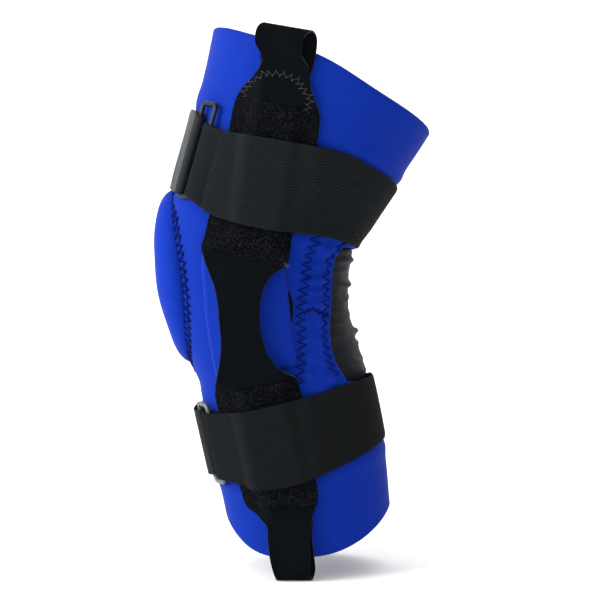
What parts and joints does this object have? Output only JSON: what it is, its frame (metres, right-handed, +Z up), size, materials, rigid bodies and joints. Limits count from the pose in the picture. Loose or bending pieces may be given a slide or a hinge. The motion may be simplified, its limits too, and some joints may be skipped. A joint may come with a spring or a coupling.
{
  "type": "hinged knee support",
  "caption": "Blue neoprene hinged knee support with black side-hinge covers, pull loops, two ribbed elastic straps with rings, and a ruched panel behind the knee.",
  "frame": {"origin": "middle of the knee, on the axis of the two side hinges, halfway between them", "axes": "-X points out through the kneecap, +X to the back of the knee, -Y to the lateral side, +Z up the thigh"},
  "size_m": [0.1923, 0.1738, 0.3721],
  "materials": {
    "neoprene": "royal blue jersey on foam, matt",
    "stretch_fabric": "thin black stretch fabric",
    "laminate": "smooth matt black laminate with grey raw edges",
    "loop_pile": "black loop pile",
    "elastic": "ribbed black elastic",
    "webbing": "dark grey woven webbing",
    "hook_tape": "black hook tape",
    "ring_plastic": "moulded black plastic",
    "foam": "dense black foam",
    "aluminium": "mill finish",
    "steel": "plated",
    "nylon": "natural"
  },
  "bodies": {
    "thigh": {"thigh_sleeve": "neoprene", "thigh_strap": "elastic", "thigh_closure_strap": "webbing", "kneecap_panel": "neoprene", "patella_buttress": "foam", "popliteal_panel": "stretch_fabric", "lateral_knee_panel": "neoprene", "medial_knee_panel": "neoprene", "lateral_side_strip": "neoprene", "medial_side_strip": "neoprene", "lateral_hinge_pad": "neoprene", "medial_hinge_pad": "neoprene", "lateral_upper_stay": "aluminium", "medial_upper_stay": "aluminium", "lateral_pivot_rivet": "steel", "medial_pivot_rivet": "steel", "lateral_hinge_washer": "nylon", "medial_hinge_washer": "nylon", "lateral_stop_pin": "steel", "medial_stop_pin": "steel", "lateral_cover_upper": "laminate", "medial_cover_upper": "laminate", "lateral_cover_waist": "laminate", "medial_cover_waist": "laminate", "lateral_loop_patch_thigh": "loop_pile", "medial_loop_patch_thigh": "loop_pile", "lateral_pull_loop_top": "laminate", "medial_pull_loop_top": "laminate"},
    "calf": {"calf_sleeve": "neoprene", "calf_strap": "elastic", "calf_closure_strap": "webbing", "lateral_lower_stay": "aluminium", "medial_lower_stay": "aluminium", "lateral_cover_lower": "laminate", "medial_cover_lower": "laminate", "lateral_loop_patch_calf": "loop_pile", "medial_loop_patch_calf": "loop_pile", "lateral_pull_loop_bottom": "laminate", "medial_pull_loop_bottom": "laminate"},
    "thigh_ring": {"thigh_strap_ring": "ring_plastic"},
    "calf_ring": {"calf_strap_ring": "ring_plastic"},
    "thigh_flap": {"thigh_closure_flap": "webbing", "thigh_hook_patch": "hook_tape"},
    "calf_flap": {"calf_closure_flap": "webbing", "calf_hook_patch": "hook_tape"}
  },
  "joints": [
    {"name": "knee_hinge", "type": "hinge", "parent": "thigh", "child": "calf", "pos_m": [0, 0, 0], "axis": [0, -1, 0], "range_deg": [-22.9, 50], "deforming": ["kneecap_panel", "patella_buttress", "popliteal_panel", "lateral_knee_panel", "medial_knee_panel", "lateral_side_strip", "medial_side_strip", "lateral_cover_waist", "medial_cover_waist"]},
    {"name": "thigh_ring_swivel", "type": "hinge", "parent": "thigh", "child": "thigh_ring", "pos_m": [-0.0265, -0.05302, 0.1075], "axis": [0.2828, -0.1016, 0.9538], "range_deg": [-2, 3]},
    {"name": "calf_ring_swivel", "type": "hinge", "parent": "calf", "child": "calf_ring", "pos_m": [-0.01919, -0.03837, -0.08594], "axis": [-0.2314, 0.0026, 0.9728], "range_deg": [-2, 3]},
    {"name": "thigh_flap_peel", "type": "hinge", "parent": "thigh", "child": "thigh_flap", "pos_m": [-0.03959, -0.04395, 0.11001], "axis": [0.2697, -0.0837, 0.9593], "range_deg": [0, 100]},
    {"name": "calf_flap_peel", "type": "hinge", "parent": "calf", "child": "calf_flap", "pos_m": [-0.03033, -0.02656, -0.08598], "axis": [-0.2275, 0.014, 0.9737], "range_deg": [0, 100]}
  ]
}
